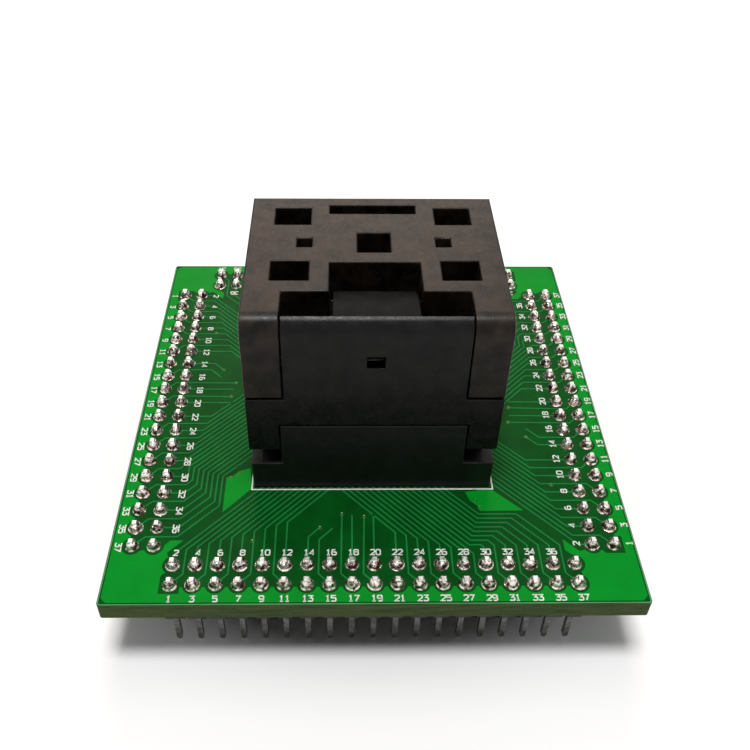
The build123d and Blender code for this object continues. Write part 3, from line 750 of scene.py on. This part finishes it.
def print_number(ink, side, number, t, o):
    word = str(number)
    width = (len(word) - 1) * DIGIT_STEP + 0.6 * DIGIT_WIDE
    for place, digit in enumerate(word):
        left = t - width / 2 + place * DIGIT_STEP
        for stroke in DIGITS[digit]:
            line = [(left + a * DIGIT_WIDE, o + (0.5 - b) * DIGIT_TALL) for a, b in stroke]
            ink.ribbon(turned_line(side, line), DIGIT_STROKE, BOARD_TOP, BOARD_TOP + PRINT_HEIGHT)


def make_print():
    ink = Shape()
    for side in SIDES:
        outside, inside = PRINT_ROWS[side]
        for k in range(COLUMNS):
            t = column(k) + PRINT_SHIFT
            print_number(ink, side, 2 * k + 1, t, outside)
            if k < COLUMNS - 1:
                print_number(ink, side, 2 * k + 2, t, inside)
    ink.ribbon(FRAME_LINE, 0.17, BOARD_TOP, BOARD_TOP + FRAME_HEIGHT, closed=True)
    ink.piece("printed_numbers", INK, "base", "board")


# Headers: notched insulators, pins with tapered ends, and a solder joint round each pin
STRIP_BOTTOM = 6.0
STRIP_HALF = 2.5
NOTCH = ((-1.21, 0.45), (-0.8, 0), (0.8, 0), (1.21, 0.45))  # along the strip, and inward
PIN_PROFILE = [
    (0.18, 0), (0.32, 0.5), (0.32, BOARD_BOTTOM + 0.1), (0.32, BOARD_TOP + 1.08),
    (0.22, BOARD_TOP + 1.2),
]
SOLDER_PROFILE = [
    (0.86, 0), (0.86, 0.04), (0.76, 0.1), (0.7, 0.3), (0.63, 0.62), (0.52, 0.86), (0.36, 1.05),
]


def strip_outline():
    """Outline of an insulator in (t, o), outer edge first, notched between its columns."""
    outline = []
    for sign in (1, -1):
        for k in range(COLUMNS)[::sign]:
            for along, inward in NOTCH:
                o = STRIP_MIDDLE + sign * (STRIP_HALF - inward)
                outline.append((column(k) + sign * along, o))
    return outline


def make_headers():
    chance = random.Random(41)
    for side in SIDES:
        strip, pins, solder = Shape(), Shape(), Shape()
        strip.prism(turned_line(side, strip_outline()), STRIP_BOTTOM, BOARD_BOTTOM)
        strip.piece(f"insulator_{side}", HEADER, "base", "header", (f"header_insulator_{side}",))
        for k in range(COLUMNS):
            for o in (INNER_ROW, OUTER_ROW):
                x, y = turned(side, column(k), o)
                pins.post(x, y, PIN_PROFILE)
                swell = chance.uniform(0.94, 1.05)
                rise = chance.uniform(0.88, 1.0)
                lean = (chance.uniform(-0.06, 0.06), chance.uniform(-0.06, 0.06))
                profile = [(r * swell, h * rise) for r, h in SOLDER_PROFILE]
                solder.lathe((x, y, BOARD_TOP), profile, 20, lean=lean)
        posts = pins.piece(f"pins_{side}", TIN, "base", "tin", (f"header_pins_{side}",))
        # Faces below the board take the darker tin: painted shade under the board.
        posts.data.materials.append(SHADED_TIN)
        for face in posts.data.polygons:
            face.material_index = int(face.center.z < BOARD_BOTTOM * MM)
        solder.piece(f"solder_{side}", SOLDER, "base", "tin", smooth=60)


# Socket: rounded mouldings, and turned or wound steel parts
LIP_PROUD = 0.004  # of the latch's own rounded edge, so the two faces don't coincide
LIP_HALF_WIDTH = 10.24
LIP_DEPTH = 3
LIP_BACK = -13.5
THUMB_FRONT, THUMB_LOW = -13.2, BOARD_TOP + 20  # what lies behind and above is the thumb piece


def make_latch():
    latch = softened("latch", "latch_plate", 0.11, LATCH_SHADED, "latch")
    latch.data.materials.append(THUMB)
    for face in latch.data.polygons:
        if face.center.y > THUMB_FRONT * MM and face.center.z > THUMB_LOW * MM:
            face.material_index = 1
    # The upper lip in the mouth is thicker in the photograph than in the solid
    radius = FILLET + LIP_PROUD
    angles = [math.radians(a) for a in (56, 59, 62, 65, 68)]
    profile = [
        (FILLET_Y - radius * math.cos(a), LID_TOP - FILLET + radius * math.sin(a)) for a in angles
    ]
    profile += [(profile[-1][0], LID_TOP - LIP_DEPTH), (LIP_BACK, LID_TOP - LIP_DEPTH)]
    lip = Shape()
    ends = (-LIP_HALF_WIDTH, LIP_HALF_WIDTH)
    lip.skin([[(x, y, z) for y, z in profile] for x in ends])
    lip.piece("latch_lip", LATCH_SHADED, "latch", "moulding", smooth=32)


def make_mouldings():
    softened("lid", "lid_moulding", 0.2, MOULDING, "lid")
    softened("socket_base", "base_moulding_painted_shade", 0.12, BASE_SHADED, "base")
    make_latch()
    softened("pressure_pad", "pad_block", 0.1, PAD, "pad")
    softened("pad_retainer", "pad_frame", 0.08, PAD, "lid")
    softened("chip_nest", "nest_frame", 0.06, NEST, "nest")
    dress("contact_block", BLOCK)
    dress("probe_retainer", BLOCK)


def make_rod(name, material, body, node, centre, radius, reach, sides):
    """Pin across the socket, chamfered at both ends."""
    chamfer = 0.15
    profile = [
        (radius - chamfer, -reach), (radius, -reach + chamfer),
        (radius, reach - chamfer), (radius - chamfer, reach),
    ]
    rod = Shape()
    rod.lathe((0, *centre), profile, sides, "X")
    rod.piece(name, material, body, "steel", (node,), 40)


def make_rods():
    hinge, pivot = (HINGE_Y, HINGE_Z), (LATCH_PIVOT_Y, LATCH_PIVOT_Z)
    make_rod("hinge_rod", STEEL, "base", "hinge_pin", hinge, 1.0, 14.45, 32)
    make_rod("latch_rod", DARK_STEEL, "lid", "latch_pin", pivot, 0.75, 14.25, 28)
    guides = Shape()
    low, height = BOARD_TOP + 14.8, 10.4
    for x in (-8.1, 8.1):
        profile = [(0.6, 0), (0.75, 0.15), (0.75, height - 0.3), (0.5, height)]
        guides.lathe((x, 0, low), profile, 24)
    guides.piece("guide_pins", STEEL, "pad", "steel", ("pad_guide_pins",), 40)


def add_screw(shape, centre, radius, grip, head_radius, head_height):
    """Screw from below: pan head with a round recess, and a shank with a chamfered tip."""
    profile = [
        (head_radius * 0.42, head_height * 0.45),
        (head_radius * 0.42, head_height),
        (head_radius * 0.72, head_height),
        (head_radius * 0.92, head_height * 0.82),
        (head_radius, head_height * 0.5),
        (head_radius, 0),
        (radius, 0),
        (radius, -grip + 0.25),
        (radius * 0.7, -grip),
    ]
    shape.lathe(centre, [(r, -h) for r, h in profile], 24)


def make_screws():
    screws = Shape()
    for x in (-12.65, 12.65):
        for y in (-12.65, 12.65):
            add_screw(screws, (x, y, BOARD_BOTTOM), 1.0, 5.7, 1.9, 1.3)
    screws.piece("base_fasteners", STEEL, "base", "steel", ("base_screws",), 40)
    screws = Shape()
    for x in (-9.4, 9.4):
        for y in (-6.2, 6.2):
            add_screw(screws, (x, y, BOARD_TOP + 13.2), 0.6, 3.9, 1.1, 0.7)
    screws.piece("pad_fasteners", STEEL, "lid", "steel", ("pad_retainer_screws",), 40)
    dress("retainer_screws", STEEL)


PROBE_STEP = 0.5
PROBE_RINGS = ((20, 5.65), (17, 4.9))  # probes on each side, and their distance from the centre
PROBE_PROFILE = [(0.1, 0), (0.13, 0.1), (0.13, 4.6), (0.09, 4.75), (0.09, 5.75), (0.04, 5.95)]


def make_probes():
    probes = Shape()
    for count, reach in PROBE_RINGS:
        for side in SIDES:
            for i in range(count):
                x, y = turned(side, (i - (count - 1) / 2) * PROBE_STEP, reach)
                probes.lathe((x, y, BOARD_TOP), PROBE_PROFILE, 8)
    probes.piece("probes", GOLD, "base", "gold", ("spring_probes",), 50)


def coil(x, y, radius, wire, turns, low, high, dead=0.75):
    """Points of a spring with closed ends: wires side by side at both ends, open between."""
    total = turns + 2 * dead
    steps = round(total * 28)
    rise = high - low - wire - 2 * dead * wire
    line = []
    for i in range(steps + 1):
        turn = total * i / steps
        closed = min(turn, dead) + max(0.0, turn - turns - dead)
        open_part = min(turns, max(0.0, turn - dead))
        height = low + wire / 2 + closed * wire + rise * open_part / turns
        angle = 2 * math.pi * turn
        line.append((x + radius * math.cos(angle), y + radius * math.sin(angle), height))
    return line


def make_coils(name, body, node, places, radius, wire, turns, low, high):
    """Upright springs at the given plan places, with heights above the board."""
    wound = Shape()
    for x, y in places:
        line = coil(x, y, radius, wire, turns, BOARD_TOP + low, BOARD_TOP + high)
        wound.tube(line, wire / 2, 8)
    return wound.piece(name, SPRING, body, "steel", (node,), 60)


def hinge_wire():
    """Right-hand torsion spring on the hinge pin: leg from the lid, turns, leg to the base."""
    radius, begin, end, turns = 1.55, 8.95, 11.9, 3
    leg_top, leg_up, leg_down = BOARD_TOP + 14.35, 3.15, 3.35
    steps = turns * 32
    line = [(begin, HINGE_Y - radius, leg_top - leg_up * i / 8) for i in range(8)]
    for i in range(steps + 1):
        angle = math.pi + 2 * math.pi * turns * i / steps
        y, z = HINGE_Y + radius * math.cos(angle), HINGE_Z + radius * math.sin(angle)
        line.append((begin + (end - begin) * i / steps, y, z))
    line += [(end, HINGE_Y - radius, HINGE_Z - leg_down * i / 7) for i in range(1, 8)]
    return line


def make_springs():
    corners = [(x, y) for x in (-8.2, 8.2) for y in (-8.2, 8.2)]
    piece = make_coils("nest_coils", "base", "nest_springs", corners, 0.68, 0.22, 3, 3.2, 5.6)
    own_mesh(piece)
    sides = [(-8.1, 0), (8.1, 0)]
    piece = make_coils("pad_coils", "lid", "pad_springs", sides, 1.3, 0.36, 4, 15.6, 20.8)
    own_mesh(piece)
    middle = [(0, -7.4)]
    piece = make_coils("latch_coil", None, "latch_spring", middle, 0.95, 0.3, 3, 20.8, 23.6)
    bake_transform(piece)
    for name, sign in (("hinge_coil_right", 1), ("hinge_coil_left", -1)):
        wound = Shape()
        wound.tube([(sign * x, y, z) for x, y, z in hinge_wire()], 0.25, 10)
        piece = wound.piece(name, SPRING, None, "steel", ("hinge_springs",), 60)
        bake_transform(piece)


make_camera()
make_stage()
make_board()
make_print()
make_headers()
make_mouldings()
make_rods()
make_screws()
make_probes()
make_springs()
